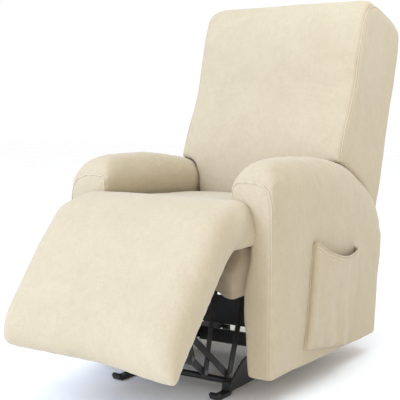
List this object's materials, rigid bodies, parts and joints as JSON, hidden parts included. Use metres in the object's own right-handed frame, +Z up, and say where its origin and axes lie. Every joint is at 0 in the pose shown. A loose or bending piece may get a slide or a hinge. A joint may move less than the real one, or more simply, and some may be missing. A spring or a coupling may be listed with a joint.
{
  "type": "recliner armchair",
  "caption": "High-backed recliner armchair in a cream velvet cover, footrest part way out on a steel link mechanism, round-topped arms and a magazine pocket.",
  "frame": {"origin": "on the floor, under the middle of the whole chair as it stands (the centre of the overall box)", "axes": "+Z up; the chair faces -Y; +X is the sitter's left"},
  "size_m": [0.704, 1.29, 1.0942],
  "materials": {
    "velvet": "cream stretch velvet",
    "lining": "taupe lining cloth",
    "foam": "upholstery foam and wadding",
    "frame_wood": "raw plywood",
    "black_steel": "semi-gloss black",
    "spring_steel": "drawn wire",
    "bright_steel": "zinc plated",
    "grip_plastic": "satin"
  },
  "bodies": {
    "base": {"arm_cover_left": "velvet", "arm_cover_right": "velvet", "arm_foam_left": "foam", "arm_foam_right": "foam", "arm_frame_left": "frame_wood", "arm_frame_right": "frame_wood", "arm_rails": "frame_wood", "back_hinge_pins": "bright_steel", "base_rail_left": "black_steel", "base_rail_right": "black_steel", "crank_pivot_studs": "bright_steel", "front_cross_tube": "black_steel", "front_feet": "black_steel", "front_leg_left": "black_steel", "front_leg_right": "black_steel", "front_lining": "lining", "knee_pivot_studs": "bright_steel", "leg_bolts": "bright_steel", "rear_feet": "black_steel", "rear_leg_left": "black_steel", "rear_leg_right": "black_steel", "rear_lower_stretcher": "black_steel", "rear_upper_stretcher": "black_steel", "seat_cover": "velvet", "seat_foam": "foam", "seat_front_tube": "black_steel", "seat_rear_tube": "black_steel", "seat_side_plate_left": "black_steel", "seat_side_plate_right": "black_steel", "seat_springs": "spring_steel", "side_pocket": "velvet"},
    "footrest": {"footrest_board": "frame_wood", "footrest_foam": "foam", "footrest_cover": "velvet", "footrest_bracket_left": "black_steel", "footrest_bracket_right": "black_steel", "footrest_rivets": "bright_steel"},
    "drive": {"drive_rod": "black_steel", "drive_crank_left": "black_steel", "drive_crank_right": "black_steel", "drive_rivets": "bright_steel", "release_lever": "black_steel", "lever_grip": "grip_plastic"},
    "front_cranks": {"front_crank_left": "black_steel", "front_crank_right": "black_steel", "front_crank_rivets": "bright_steel"},
    "long_couplers": {"long_coupler_left": "black_steel", "long_coupler_right": "black_steel"},
    "short_couplers": {"short_coupler_left": "black_steel", "short_coupler_right": "black_steel"},
    "backrest": {"back_post_left": "frame_wood", "back_post_right": "frame_wood", "back_rails": "frame_wood", "back_springs": "spring_steel", "back_foam": "foam", "back_side_wadding": "foam", "back_rear_panel": "foam", "back_cover": "velvet", "back_bracket_left": "black_steel", "back_bracket_right": "black_steel"}
  },
  "joints": [
    {"name": "footrest_tilt", "type": "hinge", "parent": "base", "child": "footrest", "pos_m": [0, -0.3019, 0.455], "axis": [-1, 0, 0], "range_deg": [-39.5, 43.5]},
    {"name": "drive_turn", "type": "hinge", "parent": "base", "child": "drive", "pos_m": [0, -0.1229, 0.31], "axis": [-1, 0, 0], "range_deg": [-39.5, 43.5]},
    {"name": "front_crank_turn", "type": "hinge", "parent": "base", "child": "front_cranks", "pos_m": [0, -0.23925, 0.40425], "axis": [-1, 0, 0], "range_deg": [-39.5, 43.5]},
    {"name": "long_coupler_turn", "type": "hinge", "parent": "drive", "child": "long_couplers", "pos_m": [0, -0.2147, 0.05502], "axis": [-1, 0, 0], "range_deg": [-43.5, 39.5]},
    {"name": "short_coupler_turn", "type": "hinge", "parent": "front_cranks", "child": "short_couplers", "pos_m": [0, -0.31312, 0.08427], "axis": [-1, 0, 0], "range_deg": [-43.5, 39.5]},
    {"name": "back_recline", "type": "hinge", "parent": "base", "child": "backrest", "pos_m": [0, 0.2881, 0.33], "axis": [-1, 0, 0], "range_deg": [0, 28]}
  ],
  "couplings": [
    {"joint": "drive_turn", "follows": "footrest_tilt", "ratio": 1},
    {"joint": "front_crank_turn", "follows": "footrest_tilt", "ratio": 1},
    {"joint": "long_coupler_turn", "follows": "footrest_tilt", "ratio": -1},
    {"joint": "short_coupler_turn", "follows": "footrest_tilt", "ratio": -1}
  ]
}
